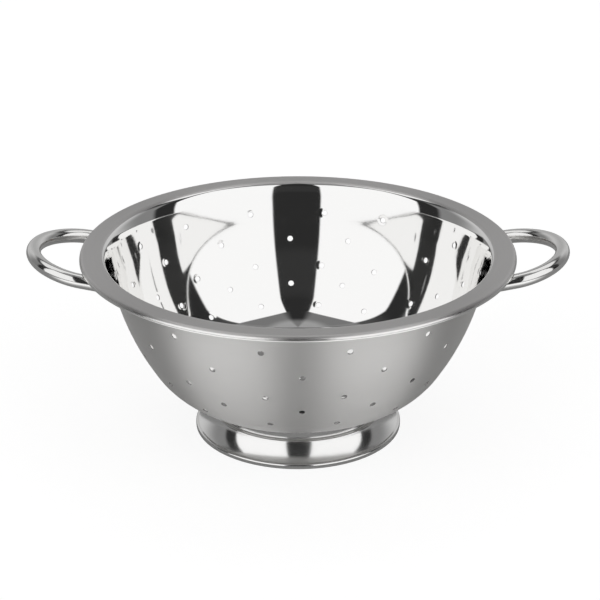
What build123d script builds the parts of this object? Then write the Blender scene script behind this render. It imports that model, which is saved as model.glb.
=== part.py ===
from build123d import *
from build123d.topology import SkipClean

import os
from math import atan2, cos, hypot, radians, sin, sqrt, tan

# A free-standing kitchen colander of stainless steel: a pressed and punched bowl on a pressed foot
# ring, with a bent tube loop welded on at each side. Nothing on it moves.
# Millimetres. The origin is at the middle of the foot, on the surface that the foot stands on.
# +Z is up and the two handles lie along X.

# Bowl, one pressing. Its places are on the outer side of the sheet.
BOWL_SHEET = 0.6
RIM_RADIUS = 120.0
RIM_WIDTH = 12.1
RIM_HEIGHT = 107.0
RIM_LIP_DEPTH = 2.6
RIM_BEND_RADIUS = 1.8
MOUTH_BEND_RADIUS = 4.0
STRAIGHT_INSET = 6.6
STRAIGHT_DEPTH = 22.0
STRAIGHT_LENGTH = 14.0
WALL_FLARE = 25.8
SHOULDER_FLARE = 14.1
SHOULDER_RISE = 14.0
BELLY_RISE = 9.2
BASE_HEIGHT = 18.2
BASE_FLAT_RADIUS = 36.5

# Drain holes in the wall. The press punches one zigzag of holes at each stop as the bowl is turned
# round by hand, so the stops are a little uneven. Angles are seen from above, from +X. Each row
# lies at its share of the rise from the base to the rim.
WALL_HOLE_DIAMETER = 3.2
WALL_HOLE_ROWS = (0.801, 0.628, 0.46, 0.347, 0.221)
ZIGZAG_ANGLE = 11.9
PUNCH_STOPS = (3, 27.5, 60, 81, 106.5, 131, 153.5, 180, 206, 231.5, 259.5, 285, 311, 336)

# Drain holes in the flat base, in rings round a middle hole.
BASE_HOLE_DIAMETER = 3.2
BASE_HOLE_RING_WIDTH = 8.5
BASE_HOLE_RINGS = 2
BASE_HOLES_PER_RING = 6

# Foot ring, one pressing. Its places are on the outer side of the sheet.
FOOT_SHEET = 0.6
FOOT_RADIUS = 58.5
FOOT_LIP_HEIGHT = 2.4
FOOT_EDGE_BEND_RADIUS = 1.1
BRIM_WIDTH = 1.6
BRIM_FALL = 0.4
FLARE_WIDTH = 6.5
FLARE_LEAN = 14.0
STEP_WIDTH = 2.4
STEP_BEND_RADIUS = 0.9
COLLAR_HEIGHT = 5.2
COLLAR_BEND_RADIUS = 1.6
SEAT_WIDTH = 7.0

# Spot welds between the base and the seat of the foot ring.
SPOT_WELD_COUNT = 6
SPOT_WELD_DIAMETER = 4.0
SPOT_WELD_DEPTH = 0.3

# Handles, bent from round tube. Places are on the middle line of the tube.
TUBE_DIAMETER = 8.0
TUBE_WALL = 1.0
HANDLE_SPAN = 64.8
HANDLE_BEND_SPACING = 12.8
HANDLE_CROWN_EASE = 0.65
HANDLE_REACH_BEYOND_RIM = 26.1
HANDLE_GAP_UNDER_RIM = 0.42
HANDLE_TILT = 11.5
WELD_BEAD_RADIUS = 1.6

# Construction only
PUNCH_TRAVEL = 6.0
FULL_TURN = 360.0


def at(radius, height):
    """A point of a turned outline. Outlines are drawn flat, the radius along X, the height along Y."""
    return (radius, height)


def rounded(outline, corners):
    """The outline with each corner of the list, a point and its bend radius, bent round."""
    wire = Wire(outline)
    for corner, radius in corners:
        nearest = wire.vertices().sort_by_distance(Vector(*corner))[0]
        wire = wire.fillet_2d(radius, [nearest])
    return wire


def spun(face, angle=FULL_TURN):
    """The flat face stood up in the plane of X and Z and turned about Z."""
    return revolve(Plane.XZ * face, Axis.Z, angle)


def turned_lines(outline):
    """The outline's lines, with its arcs as splines, because a punch misses one side of turned arcs."""
    bends = [edge.to_splines() for edge in outline.edges() if edge.geom_type == GeomType.CIRCLE]
    return [edge for edge in outline.edges() if edge.geom_type == GeomType.LINE] + bends


def spun_sheet(outline, thickness, side, angle=FULL_TURN):
    """A round pressing: the outline with the sheet's thickness on one side, turned about Z."""
    section = outline.offset_2d(thickness, side=side, closed=True)
    return spun(Face(Wire(turned_lines(section))), angle)


# Bowl

# The outline of the bowl's outer side: flat base, belly, shoulder, then the wall, which rises in a
# long arc, runs straight for a little and flares out again to the mouth.
mouth_radius = RIM_RADIUS - RIM_WIDTH
shoulder_radius = mouth_radius - WALL_FLARE
belly_radius = shoulder_radius - SHOULDER_FLARE
mouth = at(mouth_radius, RIM_HEIGHT - BOWL_SHEET)
base_line = Line(at(0, BASE_HEIGHT), at(BASE_FLAT_RADIUS, BASE_HEIGHT))
belly_end = at(belly_radius, BASE_HEIGHT + BELLY_RISE)
belly_arc = TangentArc(base_line @ 1, belly_end, tangent=base_line % 1)
shoulder_end = at(shoulder_radius, BASE_HEIGHT + BELLY_RISE + SHOULDER_RISE)
shoulder_arc = TangentArc(belly_end, shoulder_end, tangent=belly_arc % 1)
straight_start = at(mouth_radius - STRAIGHT_INSET, RIM_HEIGHT - STRAIGHT_DEPTH)
wall_arc = TangentArc(shoulder_end, straight_start, tangent=shoulder_arc % 1)
wall_straight = Line(wall_arc @ 1, wall_arc @ 1 + STRAIGHT_LENGTH * (wall_arc % 1))
mouth_flare = TangentArc(wall_straight @ 1, mouth, tangent=wall_straight % 1)
wall_lines = (belly_arc, shoulder_arc, wall_arc, wall_straight, mouth_flare)

# The rim lies flat round the mouth and its edge is turned down.
rim_corner = at(RIM_RADIUS - BOWL_SHEET, RIM_HEIGHT - BOWL_SHEET)
rim_edge = at(RIM_RADIUS - BOWL_SHEET, RIM_HEIGHT - RIM_LIP_DEPTH)
rim_line = Line(mouth, rim_corner)
lip_line = Line(rim_corner, rim_edge)
bowl_outline = rounded(
    [base_line, *wall_lines, rim_line, lip_line],
    [(mouth, MOUTH_BEND_RADIUS), (rim_corner, RIM_BEND_RADIUS)],
)
# The bowl as if it were full up to its rim, to trim what is welded onto it.
top_outline = Polyline(
    bowl_outline @ 1,
    at(RIM_RADIUS, RIM_HEIGHT - RIM_LIP_DEPTH),
    at(RIM_RADIUS, RIM_HEIGHT),
    at(0, RIM_HEIGHT),
    bowl_outline @ 0,
)
full_bowl = spun(Face(Wire(turned_lines(bowl_outline) + top_outline.edges())))


def wall_place(height):
    """The point where the wall's outline passes a height, and the wall's direction there."""
    line = next(line for line in wall_lines if height <= (line @ 1).Y)
    low, high = 0.0, 1.0
    for _ in range(40):
        middle = (low + high) / 2
        if (line @ middle).Y < height:
            low = middle
        else:
            high = middle
    return line @ low, line % low


def wall_hole(height, angle):
    """The punch for one wall hole, square to the wall at that height and angle."""
    place, direction = wall_place(height)
    outward = (direction.Y, 0, -direction.X)
    punch = Cylinder(WALL_HOLE_DIAMETER / 2, PUNCH_TRAVEL)
    return Rot(0, 0, angle) * (Plane(origin=(place.X, 0, place.Y), z_dir=outward) * punch)


def punched_sector(stop, sector_start, sector_end):
    """The part of the bowl round one stop of the press, with its zigzag of holes."""
    angle = sector_end - sector_start
    sector = Rot(0, 0, sector_start) * spun_sheet(bowl_outline, BOWL_SHEET, Side.LEFT, angle)
    holes = []
    for row, share in enumerate(WALL_HOLE_ROWS):
        height = BASE_HEIGHT + share * (RIM_HEIGHT - BASE_HEIGHT)
        holes.append(wall_hole(height, stop + ZIGZAG_ANGLE * (row % 2)))
    return sector - holes


def punched_bowl():
    """The whole bowl, its sectors meeting halfway between one zigzag and the next."""
    stops = list(PUNCH_STOPS)
    next_stops = stops[1:] + [stops[0] + FULL_TURN]
    sector_ends = [(stop + ZIGZAG_ANGLE + later) / 2 for stop, later in zip(stops, next_stops)]
    sector_starts = [sector_ends[-1] - FULL_TURN] + sector_ends[:-1]
    return Part() + [
        punched_sector(*places) for places in zip(stops, sector_starts, sector_ends)
    ]


def base_holes():
    """Rings of holes round a middle hole, each with as many more as the first ring has."""
    punch = Pos(0, 0, BASE_HEIGHT) * Cylinder(BASE_HOLE_DIAMETER / 2, PUNCH_TRAVEL)
    holes = [punch]
    for ring in range(1, BASE_HOLE_RINGS + 1):
        holes += PolarLocations(ring * BASE_HOLE_RING_WIDTH, ring * BASE_HOLES_PER_RING) * punch
    return holes


# Each spot weld has melted a round button out of both sheets where the foot's seat lies under the
# base.
spot_weld = Pos(0, 0, BASE_HEIGHT) * Cylinder(SPOT_WELD_DIAMETER / 2, 2 * SPOT_WELD_DEPTH)
spot_weld_circle = BASE_FLAT_RADIUS - SEAT_WIDTH / 2
foot_spot_welds = Compound(
    children=PolarLocations(spot_weld_circle, SPOT_WELD_COUNT) * spot_weld
)

# The sectors' faces are left as they are, because joined into full turns they don't survive export.
with SkipClean():
    bowl = punched_bowl() - base_holes() - foot_spot_welds


# Foot ring

# The outline of the foot's outer side: seat under the base, upright collar, narrow step, hollow
# flare, brim and turned-down edge.
step_height = BASE_HEIGHT - COLLAR_HEIGHT
brim_radius = FOOT_RADIUS - BRIM_WIDTH
step_radius = brim_radius - FLARE_WIDTH
collar_radius = step_radius - STEP_WIDTH
seat_inner = at(BASE_FLAT_RADIUS - SEAT_WIDTH, BASE_HEIGHT)
collar_top = at(collar_radius, BASE_HEIGHT)
collar_foot = at(collar_radius, step_height)
step_edge = at(step_radius, step_height)
flare_start = (sin(radians(FLARE_LEAN)), -cos(radians(FLARE_LEAN)))
brim_inner = at(brim_radius, FOOT_LIP_HEIGHT + BRIM_FALL)
foot_corner = at(FOOT_RADIUS, FOOT_LIP_HEIGHT)
foot_edge = at(FOOT_RADIUS, 0)
foot_outline = rounded(
    [
        Line(seat_inner, collar_top),
        Line(collar_top, collar_foot),
        Line(collar_foot, step_edge),
        TangentArc(step_edge, brim_inner, tangent=flare_start),
        Line(brim_inner, foot_corner),
        Line(foot_corner, foot_edge),
    ],
    [
        (collar_top, COLLAR_BEND_RADIUS),
        (collar_foot, STEP_BEND_RADIUS),
        (step_edge, STEP_BEND_RADIUS),
        (foot_corner, FOOT_EDGE_BEND_RADIUS),
    ],
)
foot_ring = spun_sheet(foot_outline, FOOT_SHEET, Side.RIGHT) - foot_spot_welds


# Handles

# The loop is drawn flat, X away from the rim's edge: a leg, a bend, the wider crown, a bend, a leg.
# The crown's middle lies so that crown and bends run into each other.
half_span = HANDLE_SPAN / 2
bend_offset = HANDLE_BEND_SPACING / 2
bend_radius = half_span - bend_offset
crown_radius = half_span + HANDLE_CROWN_EASE
crown_middle = Vector(HANDLE_REACH_BEYOND_RIM - crown_radius, 0)
bend_advance = sqrt((crown_radius - bend_radius) ** 2 - bend_offset**2)
bend_middle = Vector(crown_middle.X + bend_advance, -bend_offset)
leg_end = (bend_middle.X, -half_span)
crown_start = crown_middle + (bend_middle - crown_middle).normalized() * crown_radius
crown_end = Vector(crown_start.X, -crown_start.Y)

leg = Line((-RIM_RADIUS / 2, -half_span), leg_end)
first_bend = TangentArc(leg_end, crown_start, tangent=(1, 0))
crown = TangentArc(crown_start, crown_end, tangent=first_bend % 1)
second_bend = TangentArc(crown_end, (leg_end[0], half_span), tangent=crown % 1)
other_leg = Line((leg_end[0], half_span), (-RIM_RADIUS / 2, half_span))
loop = Wire([leg, first_bend, crown, second_bend, other_leg])

# The legs cross under the rim's edge with a small gap.
crossing = sqrt(RIM_RADIUS**2 - half_span**2)
leg_drop = HANDLE_GAP_UNDER_RIM + TUBE_DIAMETER / 2 / cos(radians(HANDLE_TILT))
leg_rise = (RIM_RADIUS - crossing) * tan(radians(HANDLE_TILT))
handle_plane = Plane(
    origin=(RIM_RADIUS, 0, RIM_HEIGHT - RIM_LIP_DEPTH - leg_drop + leg_rise),
    x_dir=(cos(radians(HANDLE_TILT)), 0, sin(radians(HANDLE_TILT))),
    z_dir=(-sin(radians(HANDLE_TILT)), 0, cos(radians(HANDLE_TILT))),
)
loop = handle_plane * loop
bar = sweep((loop ^ 0) * Circle(TUBE_DIAMETER / 2), path=loop)
bore = sweep((loop ^ 0) * Circle(TUBE_DIAMETER / 2 - TUBE_WALL), path=loop)
right_handle = bar - bore - full_bowl


def weld_bead(side):
    """A round bead laid where a leg meets the wall, cut to lie against both. Side 1 or -1 in Y."""
    leg_direction = handle_plane.x_dir
    leg_start = handle_plane.origin + side * half_span * handle_plane.y_dir
    inner, outer = -RIM_RADIUS / 2, 0.0
    for _ in range(40):
        middle = leg_start + (inner + outer) / 2 * leg_direction
        wall, wall_direction = wall_place(middle.Z)
        if hypot(middle.X, middle.Y) < wall.X:
            inner = (inner + outer) / 2
        else:
            outer = (inner + outer) / 2
    around = atan2(middle.Y, middle.X)
    across, rise = wall_direction.X, wall_direction.Y
    outward = Vector(rise * cos(around), rise * sin(around), -across)
    slant = abs(outward.dot(leg_direction))
    seam_plane = Plane(
        origin=middle, x_dir=leg_direction - outward * outward.dot(leg_direction), z_dir=outward
    )
    seam = (seam_plane * Ellipse(TUBE_DIAMETER / 2 / slant, TUBE_DIAMETER / 2)).edge()
    rod = sweep((seam ^ 0) * Circle(WELD_BEAD_RADIUS), path=seam)
    return rod - bar - full_bowl


right_handle_welds = Compound(children=[weld_bead(1), weld_bead(-1)])
left_handle = mirror(right_handle, Plane.YZ)
left_handle_welds = mirror(right_handle_welds, Plane.YZ)


# The pieces, each under its own name
pieces = {
    "bowl": bowl,
    "foot_ring": foot_ring,
    "foot_spot_welds": foot_spot_welds,
    "right_handle": right_handle,
    "right_handle_welds": right_handle_welds,
    "left_handle": left_handle,
    "left_handle_welds": left_handle_welds,
}
os.makedirs("parts", exist_ok=True)
for name, piece in pieces.items():
    export_step(piece, f"parts/{name}.step")
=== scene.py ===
import bpy
import numpy as np
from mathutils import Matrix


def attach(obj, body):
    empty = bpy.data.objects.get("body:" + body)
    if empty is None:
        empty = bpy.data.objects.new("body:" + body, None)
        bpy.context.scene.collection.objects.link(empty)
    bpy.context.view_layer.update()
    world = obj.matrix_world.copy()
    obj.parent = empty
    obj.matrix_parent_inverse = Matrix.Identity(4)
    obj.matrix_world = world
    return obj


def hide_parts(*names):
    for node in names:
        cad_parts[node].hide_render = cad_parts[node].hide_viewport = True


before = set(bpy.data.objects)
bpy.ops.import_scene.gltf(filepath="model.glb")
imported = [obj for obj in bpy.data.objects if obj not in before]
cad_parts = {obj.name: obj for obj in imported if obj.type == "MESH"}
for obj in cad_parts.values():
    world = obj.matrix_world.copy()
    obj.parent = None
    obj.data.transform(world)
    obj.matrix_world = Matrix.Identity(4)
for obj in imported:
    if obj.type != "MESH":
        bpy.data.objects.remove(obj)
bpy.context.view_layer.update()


# Bowl
# One disc of 0.6 mm stainless steel, pressed into a bowl with a flat rim whose edge is turned down.
# The inside is mirror polished, the rim and the outside are ground to a satin while the bowl spins,
# and a punch drives a zigzag of five drain holes through the wall at each of fourteen stops.

mm = 0.001
quarter = np.pi / 2
full_turn = 2 * np.pi

bowl_sheet = 0.6 * mm
rim_radius = 120 * mm
rim_height = 107 * mm
rim_lip_depth = 2.6 * mm
rim_bend_radius = 1.8 * mm
mouth_bend_radius = 4 * mm
base_height = 18.2 * mm
base_flat_radius = 36.5 * mm
belly_end = np.array([68.0, 27.4]) * mm
shoulder_end = np.array([82.1, 41.4]) * mm
straight_start = np.array([101.2, 85.2]) * mm
straight_length = 14 * mm
mouth_corner = np.array([107.9, 106.4]) * mm

# The rows lie at shares of the height from base to rim. Every second row is turned by the zigzag.
hole_radius = 1.6 * mm
hole_edge_radius = 0.15 * mm
wall_hole_rows = np.array([0.801, 0.628, 0.46, 0.347, 0.221])
zigzag_angle = 11.9
punch_stops = np.array([3, 27.5, 60, 81, 106.5, 131, 153.5, 180, 206, 231.5, 259.5, 285, 311, 336])
base_ring_pitch = 8.5 * mm
base_rings = 2
base_holes_per_ring = 6
dimple_depth = 0.04 * mm
dimple_reach = 2.0 * mm

# The rim's satin starts partway through the mouth's bend and ends partway round the rim's bend.
mouth_satin_share = 0.45
rim_satin_share = 0.6

# The mesh: columns round the axis, places up the side of a hole's patch, how far the highest and
# lowest rows of patches reach past the middles of their holes, the narrow strip at the lip, the
# steps that an outline is added up from, and how near two points are when they are one.
columns = 192
column_angle = full_turn / columns
patch_side_places = 7
patch_margin = 5 * mm
lip_strip = 0.3 * mm
line_steps = 6000
merge_distance = 1e-7


def bend_through(start, heading, end):
    """Length and turn of the arc that leaves start along heading and ends at end.

    The turn is twice the angle from the heading to the chord, and the length is the chord times
    half the turn over the sine of half the turn.
    """
    chord = np.subtract(end, start)
    half_turn = np.arctan2(chord[1], chord[0]) - heading
    return np.hypot(*chord) * half_turn / np.sin(half_turn), 2 * half_turn


def bent_line(start, heading, bends):
    """A line that leaves start along heading and goes through bends, pairs of length and turn.

    Its heading changes evenly along each bend, and its place is the running sum of short steps
    along the heading.
    """
    lengths, turns = np.transpose(bends)
    joints = np.concatenate([[0], np.cumsum(lengths)])
    headings = heading + np.concatenate([[0], np.cumsum(turns)])
    along = np.linspace(0, joints[-1], line_steps + 1)
    step_heading = np.interp((along[1:] + along[:-1]) / 2, joints, headings)
    steps = np.diff(along)[:, None] * np.stack([np.cos(step_heading), np.sin(step_heading)], 1)
    places = np.asarray(start) + np.concatenate([np.zeros((1, 2)), np.cumsum(steps, 0)])
    return {"joints": joints, "headings": headings, "along": along, "places": places}


def at(line, distance):
    """Place and heading of a bent line at distances along it."""
    first = np.interp(distance, line["along"], line["places"][:, 0])
    second = np.interp(distance, line["along"], line["places"][:, 1])
    return first, second, np.interp(distance, line["joints"], line["headings"])


def round_axis(radius, angle, height):
    """Points at a radius from an upright axis, an angle round it and a height."""
    point = np.broadcast_arrays(radius * np.cos(angle), radius * np.sin(angle), height)
    return np.stack(point, -1)


def pressed_points(line, distance, angle, depth, lean=0.0):
    """Points and normals of a round pressing, drawn from the outline of its outer side.

    The outline's radius and height at each distance are carried round the axis to the angle, and
    the point lies depth inside the sheet. Lean turns the normal from the outer side, 0, to the
    inner side, pi, by way of the outline's own direction.
    """
    radius, height, heading = at(line, distance)
    radius, height = radius - depth * np.sin(heading), height + depth * np.cos(heading)
    normal_radius = np.sin(heading) * np.cos(lean) + np.cos(heading) * np.sin(lean)
    normal_height = np.sin(heading) * np.sin(lean) - np.cos(heading) * np.cos(lean)
    return round_axis(radius, angle, height), round_axis(normal_radius, angle, normal_height)


def steel_mesh(name, grids, materials):
    """One smooth mesh from grids of points, each a dict, that share their border points.

    Each grid's rows are joined by quads, and its columns close on themselves. Points in the same
    place are merged, faces are turned to agree with the normals, and the normals are kept.
    """
    points = np.concatenate([grid["points"].reshape(-1, 3) for grid in grids])
    normals = np.concatenate([grid["normals"].reshape(-1, 3) for grid in grids])
    quads, slots, first = [], [], 0
    for grid in grids:
        rows, places = grid["points"].shape[:2]
        ids = first + np.arange(rows * places).reshape(rows, places)
        beside = np.roll(ids, -1, axis=1)
        quads.append(np.stack([ids[:-1], beside[:-1], beside[1:], ids[1:]], -1).reshape(-1, 4))
        slots.append(np.repeat(grid["slots"], places))
        first += rows * places
    quads, slots = np.concatenate(quads), np.concatenate(slots)
    rounded = np.round(points / merge_distance)
    _, kept, merged = np.unique(rounded, axis=0, return_index=True, return_inverse=True)
    points, normals, quads = points[kept], normals[kept], merged.reshape(-1)[quads]
    corners = points[quads]
    facing = np.cross(corners[:, 2] - corners[:, 0], corners[:, 3] - corners[:, 1])
    inward = np.sum(facing * normals[quads].sum(1), 1) < 0
    quads[inward] = quads[inward][:, ::-1]
    mesh = bpy.data.meshes.new(name)
    mesh.from_pydata(points, [], quads.tolist())
    mesh.polygons.foreach_set("material_index", slots.astype(np.int32))
    mesh.validate()
    mesh.shade_smooth()
    mesh.normals_split_custom_set_from_vertices(normals)
    if "grain" in grids[0]:
        grain_places = np.concatenate([grid["grain"].reshape(-1, 3) for grid in grids])[kept]
        attribute = mesh.attributes.new("grain", "FLOAT_VECTOR", "POINT")
        attribute.data.foreach_set("vector", grain_places.ravel())
    for material in materials:
        mesh.materials.append(material)
    piece = bpy.data.objects.new(name, mesh)
    bpy.context.scene.collection.objects.link(piece)
    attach(piece, "root")
    return piece


# The outline of the outer side runs from the axis over the base and up the wall to the lip's edge.
# The wall rises in a long arc, runs straight for a little and flares out to the mouth.
belly = bend_through([base_flat_radius, base_height], 0, belly_end)
shoulder = bend_through(belly_end, belly[1], shoulder_end)
wall_heading = belly[1] + shoulder[1]
wall = bend_through(shoulder_end, wall_heading, straight_start)
steep = wall_heading + wall[1]
flare_start = straight_start + straight_length * np.array([np.cos(steep), np.sin(steep)])
mouth_flare = bend_through(flare_start, steep, mouth_corner)
flare_radius = mouth_flare[0] / -mouth_flare[1]
flare_middle = flare_start + flare_radius * np.array([np.sin(steep), -np.cos(steep)])
# The mouth's bend lies inside the flare's circle and touches it and the rim's flat underside.
mouth_rise = rim_height - bowl_sheet - mouth_bend_radius - flare_middle[1]
mouth_heading = np.arccos(mouth_rise / (flare_radius - mouth_bend_radius))
flat_start = flare_middle[0] - (flare_radius - mouth_bend_radius) * np.sin(mouth_heading)
rim_bend_start = rim_radius - bowl_sheet - rim_bend_radius
bowl_line = bent_line([0, base_height], 0, [
    (base_flat_radius, 0),
    belly,
    shoulder,
    wall,
    (straight_length, 0),
    (flare_radius * (steep - mouth_heading), mouth_heading - steep),
    (mouth_bend_radius * mouth_heading, -mouth_heading),
    (rim_bend_start - flat_start, 0),
    (rim_bend_radius * quarter, -quarter),
    (rim_lip_depth - bowl_sheet - rim_bend_radius, 0),
])
base_edge, belly_stop = bowl_line["joints"][1:3]
straight_stop, flare_stop, mouth_stop, flat_stop, rim_stop, lip_stop = bowl_line["joints"][5:]

outside, inside, rim, edge, cut = range(5)


def around(line, distances, depths, leans, finishes):
    """A grid that carries places on the outline all the way round, one column for each step."""
    angles = np.arange(columns) * column_angle
    distances, depths, leans = (np.asarray(v, float)[:, None] for v in (distances, depths, leans))
    points, normals = pressed_points(line, distances, angles, depths, leans)
    return {"points": points, "normals": normals, "slots": np.asarray(finishes)}


# The way through a hole, from circles on the sheet's outer side over both rounded edges to circles
# on its inner side: distance from the hole's middle, depth in the sheet and the lean of the normal
# from the outer side towards the middle.
edge_lean = np.radians([0, 45, 90])
near_hole = np.array([3.8, 3.2, 2.7, 2.2]) * mm
half_distance = np.append(near_hole, hole_radius + hole_edge_radius * (1 - np.sin(edge_lean)))
half_depth = np.append(0 * near_hole, hole_edge_radius * (1 - np.cos(edge_lean)))
half_lean = np.append(0 * near_hole, edge_lean)
way_distance = np.append(half_distance, half_distance[::-1])
way_depth = np.append(half_depth, bowl_sheet - half_depth[::-1])
way_lean = np.append(half_lean, np.pi - half_lean[::-1])


def hole_patch(line, middle, angle, low, high, first_column, last_column):
    """A grid for the patch of sheet round one hole, from the patch's border outside, through the
    hole, to its border inside.

    The border runs between two distances along the outline and between two columns. Every point
    of it has its own ray to the hole's middle, which crosses the circles round the hole.
    """
    radius, _, heading = at(line, middle)
    side = np.linspace(low, high, patch_side_places)
    across = np.arange(first_column, last_column + 1) * column_angle
    low_edge, high_edge = np.full(len(across) - 1, low), np.full(len(across) - 1, high)
    last_edge, first_edge = np.full(len(side) - 1, across[-1]), np.full(len(side) - 1, across[0])
    border_distance = np.concatenate([low_edge, side[:-1], high_edge, side[:0:-1]])
    border_angle = np.concatenate([across[:-1], last_edge, across[:0:-1], first_edge])
    toward = np.arctan2(radius * (border_angle - angle), border_distance - middle)
    along, aside = np.cos(toward), np.sin(toward)
    reach = way_distance[:, None]
    # A step aside from the hole's middle also leads outwards, because the sheet is round.
    circle_radius = radius + reach * along * np.cos(heading)
    outward_step = np.hypot(circle_radius, reach * aside) - circle_radius
    distance = middle + reach * along + outward_step * np.cos(heading)
    turn = angle + np.arctan2(reach * aside, circle_radius)
    # The punch has pushed the sheet outwards round the hole, most at its edge.
    share = np.clip((way_distance - hole_radius) / dimple_reach, 0, 1)
    push = dimple_depth * (1 - share) ** 2 * (1 + 2 * share)
    slope = dimple_depth * 6 * share * (share - 1) / dimple_reach
    points, normals = pressed_points(line, distance, turn, (way_depth - push)[:, None])
    # The normals lean along the way from the hole's middle, on the slope and the rounded edges.
    away = np.stack([
        np.cos(heading) * along * np.cos(turn) - aside * np.sin(turn),
        np.cos(heading) * along * np.sin(turn) + aside * np.cos(turn),
        np.sin(heading) * along + 0 * turn,
    ], -1)
    lean = way_lean[:, None, None]
    slope = slope[:, None, None] * np.abs(np.cos(lean))
    normals = (normals - away * slope) * np.cos(lean) - away * np.sin(lean)
    normals /= np.linalg.norm(normals, axis=-1, keepdims=True)
    # On each side of the sheet, two more rows lead from the widest circle to the border. The outer
    # half of each rounded edge has the finish of its side, and the rest is cut.
    rest_distance = np.stack([border_distance, (border_distance + distance[0]) / 2])
    rest_angle = np.stack([border_angle, (border_angle + turn[0]) / 2])
    outer_points, outer_normals = pressed_points(line, rest_distance, rest_angle, 0.0)
    inner_points, inner_normals = pressed_points(line, rest_distance, rest_angle, bowl_sheet, np.pi)
    return {
        "points": np.concatenate([outer_points, points, inner_points[::-1]]),
        "normals": np.concatenate([outer_normals, normals, inner_normals[::-1]]),
        "slots": np.repeat([outside, cut, inside], [7, 3, 7]),
    }


def hole_band(line, middle, angles, low, high):
    """The patches of one row of holes. Their borders lie on the columns nearest halfway."""
    angles = np.sort(np.radians(angles) % full_turn)
    halfway = (angles + np.append(angles[1:], angles[0] + full_turn)) / 2
    last = np.round(halfway / column_angle).astype(int)
    first = np.append(last[-1] - columns, last[:-1])
    return [
        hole_patch(line, middle, angle, low, high, first_column, last_column)
        for angle, first_column, last_column in zip(angles, first, last)
    ]


# Base: a hole in the middle, then rings of holes. The middle hole's normals lean the other way,
# because the outline starts at its middle.
half_pitch = base_ring_pitch / 2
middle_distance = np.concatenate([[half_pitch], way_distance[2:-2], [half_pitch]])
middle_depth = np.concatenate([[0], way_depth[2:-2], [bowl_sheet]])
middle_lean = np.concatenate([[0], -way_lean[2:-2], [-np.pi]])
middle_finishes = np.repeat([outside, cut, inside], [4, 3, 4])
bowl_grids = [around(bowl_line, middle_distance, middle_depth, middle_lean, middle_finishes)]
for ring in range(1, base_rings + 1):
    ring_radius = ring * base_ring_pitch
    ring_angles = np.arange(ring * base_holes_per_ring) * 360 / (ring * base_holes_per_ring)
    bowl_grids += hole_band(
        bowl_line, ring_radius, ring_angles, ring_radius - half_pitch, ring_radius + half_pitch)

# Wall: the rows of holes, each in a band that ends halfway to the next row.
rising = (bowl_line["along"] > base_edge) & (bowl_line["along"] < flare_stop)
wall_heights, wall_radii = bowl_line["places"][rising, 1], bowl_line["places"][rising, 0]
row_heights = base_height + wall_hole_rows * (rim_height - base_height)
row_places = np.interp(row_heights, wall_heights, bowl_line["along"][rising])
row_gaps = (row_places[:-1] + row_places[1:]) / 2
band_tops = np.append(row_places[0] + patch_margin, row_gaps)
band_feet = np.append(row_gaps, row_places[-1] - patch_margin)
for row, place in enumerate(row_places):
    row_angles = punch_stops + zigzag_angle * (row % 2)
    bowl_grids += hole_band(bowl_line, place, row_angles, band_feet[row], band_tops[row])

# The stretches without holes: where each starts and ends along the outline, in how many steps, and
# its finish inside. The narrow last one keeps the lip's shading flat up to its cut edge.
rings_edge = base_rings * base_ring_pitch + half_pitch
mouth_turned = flare_stop + (mouth_stop - flare_stop) * mouth_satin_share
rim_turned = flat_stop + (rim_stop - flat_stop) * rim_satin_share
stretches = [
    (rings_edge, base_edge, 5, inside),
    (base_edge, belly_stop, 13, inside),
    (belly_stop, band_feet[-1], 4, inside),
    (band_tops[0], straight_stop, 4, inside),
    (straight_stop, flare_stop, 8, inside),
    (flare_stop, mouth_turned, 6, inside),
    (mouth_turned, mouth_stop, 7, rim),
    (mouth_stop, flat_stop, 3, rim),
    (flat_stop, rim_turned, 7, rim),
    (rim_turned, rim_stop, 5, edge),
    (rim_stop, lip_stop - lip_strip, 1, edge),
    (lip_stop - lip_strip, lip_stop, 1, edge),
]
for start, stop, steps, finish in stretches:
    sheet_places = np.linspace(start, stop, steps + 1)
    flat = 0 * sheet_places
    bowl_grids.append(around(bowl_line, sheet_places, flat, flat, [outside] * steps))
    bowl_grids.append(
        around(bowl_line, sheet_places, flat + bowl_sheet, flat + np.pi, [finish] * steps))

# The lip's cut edge is rounded off from one side of the sheet to the other.
cut_lean = np.linspace(0, np.pi, 7)
cut_share = (1 - np.cos(cut_lean)) / 2
bowl_grids.append(
    around(bowl_line, lip_stop + 0 * cut_lean, bowl_sheet * cut_share, cut_lean, [edge] * 6))


def node(owner, kind, *inputs, **named):
    """A shader node of a material or world.

    Inputs are its sockets in order. A name with a capital is a socket, the others are properties.
    Where a value is another node, its first output is linked.
    """
    tree = owner.node_tree
    made = tree.nodes.new(f"ShaderNode{kind}")
    values = list(enumerate(inputs))
    for name, value in named.items():
        if name[0].isupper():
            values.append((name.replace("_", " "), value))
        else:
            setattr(made, name, value)
    for socket, value in values:
        if isinstance(value, bpy.types.Node):
            value = value.outputs[0]
        if isinstance(value, bpy.types.NodeSocket):
            tree.links.new(value, made.inputs[socket])
        elif value is not None:
            made.inputs[socket].default_value = value
    return made


def maths(owner, operation, *inputs):
    """A node that does one sum."""
    return node(owner, "Math", *inputs, operation=operation)


def connect(owner, shader, **sockets):
    """Links a node to each named socket of the shader."""
    for name, value in sockets.items():
        owner.node_tree.links.new(value.outputs[0], shader.inputs[name.replace("_", " ")])


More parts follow.
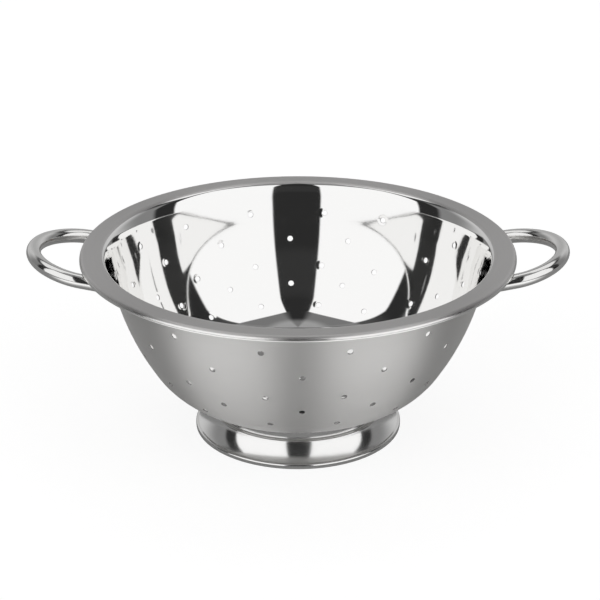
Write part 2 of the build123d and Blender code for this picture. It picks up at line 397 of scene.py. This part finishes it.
def spun_place(material, fall=1.0):
    """Where a point lies on a spun piece, for grain that runs round it.

    X and Y hold the direction from the axis, one long. Z holds the radius plus fall times the
    height, which grows or shrinks steadily along the outline.
    """
    place = node(material, "TexCoord").outputs["Object"]
    flat = node(material, "VectorMath", place, (1, 1, 0), operation="MULTIPLY")
    direction = node(material, "VectorMath", flat, operation="NORMALIZE")
    radius = node(material, "VectorMath", flat, operation="LENGTH").outputs["Value"]
    height = node(material, "SeparateXYZ", place).outputs["Z"]
    along = maths(material, "MULTIPLY_ADD", height, fall, radius)
    return node(material, "VectorMath", direction, node(material, "CombineXYZ", 0, 0, along))


def grain(material, place, lengthwise, across, detail):
    """Noise drawn out into lines: its scale lengthwise is that of X and Y, and across that of Z."""
    scales = (lengthwise, lengthwise, across)
    drawn = node(material, "VectorMath", place, scales, operation="MULTIPLY")
    return node(material, "TexNoise", drawn, Scale=1.0, Detail=detail)


def spread(material, noise, low, high):
    """The middle of a noise, from 0.3 to 0.7, stretched to run from low to high."""
    return node(material, "MapRange", noise, 0.3, 0.7, low, high)


def relief(material, height, depth, under=None):
    """Bumps as high as depth, from a pattern of heights, on top of the relief under them."""
    return node(material, "Bump", Strength=1.0, Distance=depth, Height=height, Normal=under)


def steel(name, colour, anisotropy=0.0):
    """Bare stainless steel to be given its grain: the material and its shader.

    Lines that run round the axis spread a reflection across them, towards and away from the axis.
    """
    material = bpy.data.materials.new(name)
    material.use_nodes = True
    shader = material.node_tree.nodes["Principled BSDF"]
    shader.inputs["Metallic"].default_value = 1.0
    shader.inputs["Base Color"].default_value = (*colour, 1.0)
    if anisotropy:
        shader.inputs["Anisotropic"].default_value = anisotropy
        shader.inputs["Anisotropic Rotation"].default_value = 0.25
        round_piece = node(material, "Tangent", direction_type="RADIAL", axis="Z")
        connect(material, shader, Tangent=round_piece)
    return material, shader


def satin(name, colour, roughness, line_depth, anisotropy):
    """Steel ground with an abrasive belt while it spins.

    Fine lines run round it, in broader bands that are a little smoother or rougher, with a few
    deeper scratches among them.
    """
    material, shader = steel(name, colour, anisotropy)
    place = spun_place(material)
    lines = grain(material, place, lengthwise=5, across=3200, detail=4.0)
    bands = grain(material, place, lengthwise=1.5, across=260, detail=3.0)
    stray_lines = grain(material, place, lengthwise=9, across=1500, detail=1.0)
    scratches = node(material, "MapRange", stray_lines, 0.66, 0.8, 0.0, -1.0)
    rough_lines = spread(material, lines, roughness - 0.05, roughness + 0.05)
    rough = maths(material, "ADD", rough_lines, spread(material, bands, -0.03, 0.03))
    ground = relief(material, maths(material, "ADD", lines, scratches), line_depth)
    connect(material, shader, Roughness=rough, Normal=ground)
    return material


def smooth(name, colour, roughness, line_depth, wave_depth, fall=1.0, anisotropy=0.0):
    """Steel buffed on a wheel, or sheared by the punch.

    Hair lines run round it, the pressing has left it very slightly wavy, and handling has left
    faint dull patches.
    """
    material, shader = steel(name, colour, anisotropy)
    point = node(material, "TexCoord").outputs["Object"]
    hairs = grain(material, spun_place(material, fall), lengthwise=7, across=2400, detail=3.0)
    waves = node(material, "TexNoise", point, Scale=38.0, Detail=1.0)
    patches = node(material, "TexNoise", point, Scale=55.0, Detail=4.0)
    rough_hairs = spread(material, hairs, 0.8 * roughness, 1.2 * roughness)
    rough_patches = spread(material, patches, -0.15 * roughness, 0.3 * roughness)
    rough = maths(material, "ADD", rough_hairs, rough_patches)
    buffed = relief(material, hairs, line_depth, under=relief(material, waves, wave_depth))
    connect(material, shader, Roughness=rough, Normal=buffed)
    return material


micron = 1e-6
satin_outside = satin(
    "satin_steel_outside", (0.94, 0.932, 0.917), 0.53, line_depth=2.5 * micron, anisotropy=0.88)
mirror_inside = smooth(
    "mirror_steel_inside", (0.93, 0.927, 0.92), 0.04,
    line_depth=0.3 * micron, wave_depth=28 * micron)
satin_rim = satin(
    "satin_steel_rim", (0.60, 0.59, 0.585), 0.36, line_depth=2 * micron, anisotropy=0.75)
polished_edge = smooth(
    "polished_steel_edge", (0.9, 0.895, 0.885), 0.2,
    line_depth=0.5 * micron, wave_depth=5 * micron)
punched_cut = smooth(
    "punched_steel_cut", (0.34, 0.335, 0.33), 0.4,
    line_depth=3 * micron, wave_depth=5 * micron)

bowl_finishes = [satin_outside, mirror_inside, satin_rim, polished_edge, punched_cut]
bowl = steel_mesh("steel_bowl", bowl_grids, bowl_finishes)
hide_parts("bowl")


# Foot ring
# A second pressing of the same steel: a flat seat under the bowl's base, an upright collar, a
# narrow step, a hollow flare and a turned-down edge. It is mirror polished and spot welded on.

foot_sheet = 0.6 * mm
foot_radius = 58.5 * mm
foot_lip_height = 2.4 * mm
foot_edge_bend_radius = 1.1 * mm
seat_width = 7 * mm
collar_radius = 48 * mm
collar_height = 5.2 * mm
collar_bend_radius = 1.6 * mm
step_width = 2.4 * mm
step_bend_radius = 0.9 * mm
brim_width = 1.6 * mm
brim_fall = 0.4 * mm
brim_crease = 0.001 * mm
flare_lean = np.radians(14)

seat_inner = base_flat_radius - seat_width
step_height = base_height - collar_height
step_edge = np.array([collar_radius + step_width, step_height])
brim_inner = np.array([foot_radius - brim_width, foot_lip_height + brim_fall])
lean_heading = flare_lean - quarter
foot_flare = bend_through(step_edge, lean_heading, brim_inner)
foot_flare_radius = foot_flare[0] / foot_flare[1]
from_middle = foot_flare_radius * np.array([np.sin(lean_heading), -np.cos(lean_heading)])
foot_flare_middle = step_edge - from_middle
# The step's bend lies outside the flare's circle and touches it and the step's flat.
step_drop = foot_flare_middle[1] - (step_height - step_bend_radius)
step_heading = -np.arccos(step_drop / (foot_flare_radius + step_bend_radius))
step_stop = foot_flare_middle[0] + (foot_flare_radius + step_bend_radius) * np.sin(step_heading)
foot_flare_turn = lean_heading + foot_flare[1] - step_heading
brim_heading = np.arctan2(-brim_fall, brim_width)
brim_turn = brim_heading - (lean_heading + foot_flare[1])
foot_edge_turn = quarter + brim_heading
foot_edge_corner = foot_edge_bend_radius * np.tan(foot_edge_turn / 2)
foot_line = bent_line([seat_inner, base_height], 0, [
    (collar_radius - collar_bend_radius - seat_inner, 0),
    (collar_bend_radius * quarter, -quarter),
    (collar_height - collar_bend_radius - step_bend_radius, 0),
    (step_bend_radius * quarter, quarter),
    (step_stop - collar_radius - step_bend_radius, 0),
    (step_bend_radius * -step_heading, step_heading),
    (foot_flare_radius * foot_flare_turn, foot_flare_turn),
    (brim_crease, brim_turn),
    (np.hypot(brim_width, brim_fall) - foot_edge_corner, 0),
    (foot_edge_bend_radius * foot_edge_turn, -foot_edge_turn),
    (foot_lip_height - foot_edge_corner, 0),
])
foot_joints = foot_line["joints"]
steps_along_foot = (6, 6, 3, 5, 1, 5, 16, 1, 2, 6, 3)
foot_places = np.concatenate([
    np.linspace(start, stop, steps, endpoint=False)
    for start, stop, steps in zip(foot_joints[:-1], foot_joints[1:], steps_along_foot)
] + [foot_joints[-1:]])
# The sheet lies to the right of this outline, so its outer side is the line's left.
foot_flat = 0 * foot_places
foot_strips = [0] * (len(foot_places) - 1)
foot_grids = [
    around(foot_line, foot_places, foot_flat, foot_flat + np.pi, foot_strips),
    around(foot_line, foot_places, foot_flat - foot_sheet, foot_flat, foot_strips),
]
# Both cut edges are rounded off, as the bowl's lip is.
for foot_end, foot_lean in ((foot_joints[-1], np.pi - cut_lean), (0, np.pi + cut_lean)):
    foot_grids.append(
        around(foot_line, foot_end + 0 * cut_lean, -foot_sheet * cut_share, foot_lean, [0] * 6))

mirror_foot = smooth(
    "mirror_steel_foot", (0.92, 0.917, 0.91), 0.13,
    line_depth=0.6 * micron, wave_depth=8 * micron, fall=-1.0, anisotropy=0.7)
foot = steel_mesh("steel_foot_ring", foot_grids, [mirror_foot])
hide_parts("foot_ring")


# Spot welds
# Six round welds join the foot's seat to the bowl's base. The electrode leaves a shallow dished
# mark with a low raised rim on the seat's underside, blued by the heat.

spot_weld_count = 6
spot_weld_radius = 2 * mm
spot_weld_circle = base_flat_radius - seat_width / 2
spot_mark_stands_out = 0.05 * mm
spot_mark_rim = 0.05 * mm
spot_mark_dish = 0.04 * mm
spot_reach_in_base = 0.3 * mm
spot_rings = 9
spot_sides = 24

# The mark's rim is a smooth hump at 0.85 of the radius, and the dish takes up the middle 0.7.
spot_across = np.linspace(0, 1, spot_rings)
spot_hump = spot_mark_rim * np.exp(-((spot_across - 0.85) / 0.12) ** 2)
spot_relief = spot_mark_stands_out + spot_hump - spot_mark_dish * (spot_across < 0.7)
spot_under = base_height - foot_sheet - spot_relief
spot_over = 0 * spot_across + base_height + spot_reach_in_base
spot_heights = np.append(spot_under, spot_over)[:, None]
spot_radii = spot_weld_radius * np.append(spot_across, spot_across[::-1])[:, None]
spot_turn = np.arange(spot_sides) * full_turn / spot_sides
spot_points = round_axis(spot_radii, spot_turn, spot_heights)
spot_normals = 0 * spot_points
spot_normals[:spot_rings, :, 2] = -1
spot_normals[spot_rings:, :, 2] = 1
spot_strips = np.zeros(2 * spot_rings - 1, int)
spot_grids = []
for spot_angle in np.arange(spot_weld_count) * full_turn / spot_weld_count:
    spot_middle = round_axis(spot_weld_circle, spot_angle, 0)
    spot_grids.append(
        {"points": spot_middle + spot_points, "normals": spot_normals, "slots": spot_strips})


def heated(name):
    """Weld metal: rough from cooling and tinted by the heat, from grey through bronze to blue."""
    material, shader = steel(name, (0.5, 0.5, 0.5))
    point = node(material, "TexCoord").outputs["Object"]
    heat = node(material, "TexNoise", point, Scale=420.0, Detail=3.0)
    tints = (
        (0.3, (0.42, 0.41, 0.40)),
        (0.55, (0.36, 0.22, 0.16)),
        (0.68, (0.16, 0.2, 0.32)),
        (1.0, (1.0, 1.0, 1.0)),
    )
    tint = node(material, "ValToRGB", heat)
    stops = tint.color_ramp.elements
    for share, _ in tints[1:-1]:
        stops.new(share)
    for stop, (share, colour) in zip(stops, tints):
        stop.position = share
        stop.color = (*colour, 1)
    ripples = node(material, "TexNoise", point, Scale=1800.0, Detail=3.0)
    rough = spread(material, ripples, 0.25, 0.5)
    crust = relief(material, ripples, 12 * micron)
    connect(material, shader, Base_Color=tint, Roughness=rough, Normal=crust)
    return material


weld_steel = heated("tinted_weld_steel")
spots = steel_mesh("spot_weld_marks", spot_grids, [weld_steel])
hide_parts("foot_spot_welds")


# Handles
# Each is a loop bent from 8 mm stainless tube and polished bright. Its two legs run under the rim
# and end on the bowl's wall, where they are welded.

tube_radius = 4 * mm
tube_wall = 1 * mm
handle_span = 64.8 * mm
handle_bend_spacing = 12.8 * mm
handle_crown_ease = 0.65 * mm
handle_reach = 26.1 * mm
handle_gap_under_rim = 0.42 * mm
handle_tilt = np.radians(11.5)
leg_length = 30 * mm

tube_sides = 40
leg_steps = 12
loop_places = 150
halvings = 40

# The loop runs from a leg through a bend, the wider crown and a bend into the other leg.
half_span = handle_span / 2
bend_offset = handle_bend_spacing / 2
loop_bend_radius = half_span - bend_offset
crown_radius = half_span + handle_crown_ease
bend_advance = np.sqrt((crown_radius - loop_bend_radius) ** 2 - bend_offset**2)
bend_turn = quarter + np.arctan2(-bend_offset, bend_advance)
crown_turn = np.pi - 2 * bend_turn
leg_stop = handle_reach - crown_radius + bend_advance
tube_line = bent_line([leg_stop - leg_length, -half_span], 0, [
    (leg_length, 0),
    (loop_bend_radius * bend_turn, bend_turn),
    (crown_radius * crown_turn, crown_turn),
    (loop_bend_radius * bend_turn, bend_turn),
    (leg_length, 0),
])
outward = np.array([np.cos(handle_tilt), 0, np.sin(handle_tilt)])
sideways = np.array([0.0, 1.0, 0.0])
upward = np.array([-np.sin(handle_tilt), 0, np.cos(handle_tilt)])
# The legs cross under the rim's edge with a small gap.
leg_drop = handle_gap_under_rim + tube_radius / np.cos(handle_tilt)
leg_rise = (rim_radius - np.sqrt(rim_radius**2 - half_span**2)) * np.tan(handle_tilt)
handle_origin = np.array([rim_radius, 0, rim_height - rim_lip_depth - leg_drop + leg_rise])


def tube_point(distance, turn, radius):
    """Points and normals on a tube of that radius round the handle's middle line.

    The section's circle lies across the line's heading: turn 0 points to the loop's outer side
    and a quarter turn points up.
    """
    x, y, heading = at(tube_line, distance)
    across = np.sin(heading)[..., None] * outward - np.cos(heading)[..., None] * sideways
    normals = across * np.cos(turn)[..., None] + upward * np.sin(turn)[..., None]
    middle = handle_origin + x[..., None] * outward + y[..., None] * sideways
    return middle + radius * normals, normals


def leg_end(turn, radius):
    """Distance along the middle line at which each lengthwise line of the tube meets the wall.

    It is found by halving: the point is outside the bowl where its radius is more than the wall's
    radius at its height.
    """
    low, high = np.zeros(len(turn)), np.full(len(turn), leg_length)
    for _ in range(halvings):
        middle = (low + high) / 2
        points, _ = tube_point(middle, turn, radius)
        wall_here = np.interp(points[:, 2], wall_heights, wall_radii)
        outside_bowl = np.hypot(points[:, 0], points[:, 1]) > wall_here
        low, high = np.where(outside_bowl, low, middle), np.where(outside_bowl, middle, high)
    return low


# The tube's outer skin runs from end to end and its inner skin back again. The grain holds the
# place round the tube in X and Y and along it in Z.
tube_turn = np.arange(tube_sides) * full_turn / tube_sides
tube_total = tube_line["joints"][-1]
loop_stations = np.linspace(leg_length, tube_total - leg_length, loop_places)[:, None]
leg_share = np.linspace(0, 1, leg_steps, endpoint=False)[:, None]
skins = {"points": [], "normals": [], "grain": []}
for skin_radius, facing in ((tube_radius, 1), (tube_radius - tube_wall, -1)):
    ends = leg_end(tube_turn, skin_radius)
    first_leg = ends + (leg_length - ends) * leg_share
    stations = np.concatenate([first_leg, loop_stations + 0 * ends, tube_total - first_leg[::-1]])
    skin_points, skin_normals = tube_point(stations, tube_turn + 0 * stations, skin_radius)
    skins["points"].append(skin_points[::facing])
    skins["normals"].append(facing * skin_normals[::facing])
    skins["grain"].append(round_axis(skin_radius, tube_turn, stations)[::facing])
# The first ring comes once more at the end, which closes the last cut end.
tube_skin = {part: np.concatenate([*rings, rings[0][:1]]) for part, rings in skins.items()}


def polished_tubing(name):
    """Drawn tube, polished with a belt that ran round it in slanting strokes.

    Its lines follow the grain that the tube's mesh holds.
    """
    material, shader = steel(name, (0.84, 0.835, 0.825))
    place = node(material, "Attribute", attribute_name="grain").outputs["Vector"]
    drawn = grain(material, place, lengthwise=900, across=35, detail=3.0)
    strokes = grain(material, place, lengthwise=150, across=2600, detail=3.0)
    patches = node(material, "TexNoise", place, Scale=120.0, Detail=3.0)
    rough_strokes = spread(material, strokes, 0.08, 0.13)
    rough = maths(material, "ADD", rough_strokes, spread(material, patches, -0.02, 0.04))
    drawn_lines = relief(material, drawn, 3 * micron)
    belt_lines = relief(material, strokes, 0.6 * micron, under=drawn_lines)
    connect(material, shader, Roughness=rough, Normal=belt_lines)
    return material


polished_tube = polished_tubing("polished_steel_tube")
for side, flip in (("right", 1), ("left", -1)):
    tube_grid = {
        "points": tube_skin["points"] * (flip, 1, 1),
        "normals": tube_skin["normals"] * (flip, 1, 1),
        "grain": tube_skin["grain"],
        "slots": np.zeros(len(tube_skin["points"]) - 1, int),
    }
    handle = steel_mesh(f"{side}_tube_handle", [tube_grid], [polished_tube])
    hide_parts(f"{side}_handle")


# Handle welds
# A bead of weld metal runs round each tube end where it meets the wall, laid in small overlapping
# puddles and lightly brushed, with a bronze and blue tint from the heat.

bead_radius = 1.6 * mm
bead_sink = 0.3 * mm
bead_puddles = 22
bead_thinnest = 0.95
bead_swell = 0.09
bead_steps = 120
bead_sides = 16

bead_turn = np.arange(bead_steps) * full_turn / bead_steps
bead_section = np.arange(bead_sides)[:, None] * full_turn / bead_sides
seam_points, seam_away = tube_point(leg_end(bead_turn, tube_radius), bead_turn, tube_radius)
# Each puddle swells the bead by the hump of a sine.
puddle = bead_thinnest + bead_swell * np.abs(np.sin(bead_turn * bead_puddles / 2))
bead_reach = bead_radius * puddle[:, None, None]
bead_normals = seam_away[:, None] * np.cos(bead_section) + outward * np.sin(bead_section)
bead_points = seam_points[:, None] + bead_reach * bead_normals
# What would reach through the wall is pressed flat just under its outer side.
wall_here = np.interp(bead_points[..., 2], wall_heights, wall_radii)
bead_distance = np.hypot(bead_points[..., 0], bead_points[..., 1])
pressed_out = np.maximum(bead_distance, wall_here - bead_sink) / bead_distance
bead_points[..., :2] *= pressed_out[..., None]
closed = np.append(np.arange(bead_steps), 0)
for side, flip in (("right", 1), ("left", -1)):
    bead_grids = []
    for far in (1, -1):
        bead_grids.append({
            "points": bead_points[closed] * (flip, far, 1),
            "normals": bead_normals[closed] * (flip, far, 1),
            "slots": np.zeros(bead_steps, int),
        })
    beads = steel_mesh(f"{side}_weld_beads", bead_grids, [weld_steel])
    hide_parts(f"{side}_handle_welds")


# Floor, light and camera
# A white table, two tall softboxes in front of the object at the left and right, a white panel high
# over its sides and back, and the darker room between them, which the mirror polish shows as bands.

floor_half = 3.0
floor_corners = floor_half * np.array([(-1, -1, 0), (1, -1, 0), (1, 1, 0), (-1, 1, 0)])
floor_mesh = bpy.data.meshes.new("floor")
floor_mesh.from_pydata(floor_corners, [], [(0, 1, 2, 3)])
floor = bpy.data.objects.new("floor", floor_mesh)
bpy.context.scene.collection.objects.link(floor)


def fade(owner, measure, gone, whole):
    """A smooth share: none where the measure is at gone, and all of it where it is at whole."""
    return node(owner, "MapRange", measure, gone, whole, 0.0, 1.0, interpolation_type="SMOOTHSTEP")


# The table is pale card. The camera sees it glow white, and the metal sees less of that glow,
# and a painted pool of light on it in front of the object at each side, where a softbox would light
# it.
floor_albedo = 0.3
glow_to_camera = 0.84
glow_to_metal = 0.08
# The painted pools of light: their strength in the metal, the middle of one, and where they fade.
painted_pool_to_metal = 0.9
painted_pool_middle = (0.25, -0.37, 0)
painted_pool_edge = 0.34
painted_pool_heart = 0.14
white_floor = bpy.data.materials.new("white_floor")
white_floor.use_nodes = True
floor_shader = white_floor.node_tree.nodes["Principled BSDF"]
floor_shader.inputs["Base Color"].default_value = (floor_albedo, floor_albedo, floor_albedo, 1)
floor_shader.inputs["Roughness"].default_value = 1.0
floor_shader.inputs["Specular IOR Level"].default_value = 0.0
floor_shader.inputs["Emission Color"].default_value = (1, 1, 1, 1)
rays = node(white_floor, "LightPath").outputs
seen_in_metal = maths(white_floor, "ADD", rays["Is Glossy Ray"], rays["Is Transmission Ray"])
on_table = node(white_floor, "TexCoord").outputs["Object"]
on_table = node(white_floor, "SeparateXYZ", on_table).outputs
either_side = maths(white_floor, "ABSOLUTE", on_table["X"])
mirrored_place = node(white_floor, "CombineXYZ", either_side, on_table["Y"], 0)
from_painted_pool = node(white_floor, "VectorMath", mirrored_place, painted_pool_middle, operation="DISTANCE")
# Painted pool of light: glow that fades out round two mirrored spots in front of the object, seen
# by the metal only.
painted_pool = fade(white_floor, from_painted_pool.outputs["Value"], painted_pool_edge, painted_pool_heart)
glow_and_painted_pool = maths(white_floor, "MULTIPLY_ADD", painted_pool, painted_pool_to_metal, glow_to_metal)
glow_and_painted_pool_in_metal = maths(white_floor, "MULTIPLY", seen_in_metal, glow_and_painted_pool)
glow = maths(white_floor, "MULTIPLY_ADD", rays["Is Camera Ray"], glow_to_camera, glow_and_painted_pool_in_metal)
connect(white_floor, floor_shader, Emission_Strength=glow)
floor_mesh.materials.append(white_floor)

# A direction is told by its degrees away from the camera's side and above the horizon. The
# softboxes are set round by a degree.
softbox_shift = 1.0
studio = bpy.data.worlds.new("studio")
bpy.context.scene.world = studio
studio.use_nodes = True
toward = node(studio, "SeparateXYZ", node(studio, "TexCoord").outputs["Generated"]).outputs
forward = maths(studio, "MULTIPLY", toward["Y"], -1.0)
turned = maths(studio, "DEGREES", maths(studio, "ARCTAN2", toward["X"], forward))
azimuth = maths(studio, "ABSOLUTE", maths(studio, "SUBTRACT", turned, softbox_shift))
elevation = maths(studio, "DEGREES", maths(studio, "ARCSINE", toward["Z"]))
# The softboxes are upright panels that face the object from 40 degrees at each side. This is the
# height at which a direction meets such a panel, as a share of its distance.
panel_turn = np.radians(40)
facing_front = maths(studio, "MULTIPLY", forward, float(np.cos(panel_turn)))
to_one_side = maths(studio, "ABSOLUTE", toward["X"])
panel_share = maths(
    studio, "MULTIPLY_ADD", to_one_side, float(np.sin(panel_turn)), facing_front)
panel_height = maths(studio, "DIVIDE", toward["Z"], panel_share)

# Each light: its strength, then where it fades in and out, as what is measured, the value at which
# the light is gone and the value at which it is whole.
lights = [
    # The two softboxes in front.
    (0.98, (azimuth, 14.5, 15.8), (azimuth, 82, 80), (panel_height, 2.32, 2.2)),
    # The white panel high over the sides and the back.
    (0.85, (azimuth, 89, 96), (elevation, 47, 52), (elevation, 81, 76)),
    # The wall under that panel, dim at the sides and brighter at the back.
    (0.2, (azimuth, 95, 100), (azimuth, 180.1, 130), (elevation, 45, 35)),
    (0.42, (azimuth, 110, 150), (elevation, 48, 36)),
    # The ceiling, above the softboxes and overhead.
    (0.16, (panel_height, 2.2, 2.35), (azimuth, 92, 84), (azimuth, 8, 25)),
    (0.16, (elevation, 74, 82)),
    # A faint glow in the gap between the softboxes and in the corner beyond each.
    (0.01, (azimuth, 15.8, 14.5), (elevation, 18, 24), (elevation, 46, 38)),
    (0.05, (azimuth, 80, 83), (azimuth, 130, 100), (elevation, 30, 56)),
]
room = 0.025
light = maths(studio, "ADD", room, 0.0)
for strength, *fades in lights:
    share = strength
    for measure, gone, whole in fades:
        share = maths(studio, "MULTIPLY", fade(studio, measure, gone, whole), share)
    light = maths(studio, "ADD", light, share)
camera_ray = node(studio, "LightPath").outputs["Is Camera Ray"]
background = studio.node_tree.nodes["Background"]
background.inputs["Color"].default_value = (1, 1, 1, 1)
connect(studio, background, Strength=maths(studio, "MAXIMUM", light, camera_ray))

# The camera stands where the photo's ellipses of the rim and the foot put it.
camera_place = (0.00107, -0.9, 0.46319)
camera_looks_down = np.radians(23.32)
camera_data = bpy.data.cameras.new("camera")
camera_data.sensor_width = 36.0
camera_data.lens = 105.28
camera = bpy.data.objects.new("camera", camera_data)
camera.location = camera_place
camera.rotation_euler = (quarter - camera_looks_down, 0, 0)
bpy.context.scene.collection.objects.link(camera)
bpy.context.scene.camera = camera
bpy.context.scene.view_settings.view_transform = "Standard"
